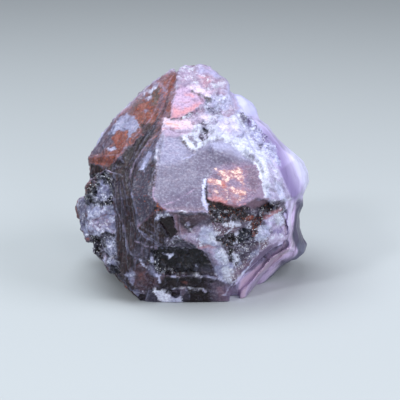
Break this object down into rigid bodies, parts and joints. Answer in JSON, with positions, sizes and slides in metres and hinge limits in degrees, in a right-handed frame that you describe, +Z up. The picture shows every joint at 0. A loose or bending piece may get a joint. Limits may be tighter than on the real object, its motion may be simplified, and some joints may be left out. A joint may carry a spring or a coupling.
{
  "type": "amethyst point",
  "caption": "Stubby natural amethyst crystal point with a faceted tip, druse crust, rust-red patches and smooth purple flanks, lying on its side.",
  "frame": {"origin": "on the ground, under the middle of the bounding box", "axes": "+Z up, +Y from the tip back along the crystal towards its broken root, +X to the right as seen looking at the tip"},
  "size_m": [0.0662, 0.0668, 0.0584],
  "materials": {
    "amethyst": "glassy facets with frosted crust"
  },
  "bodies": {
    "root": {"amethyst_point": "amethyst"}
  },
  "joints": []
}
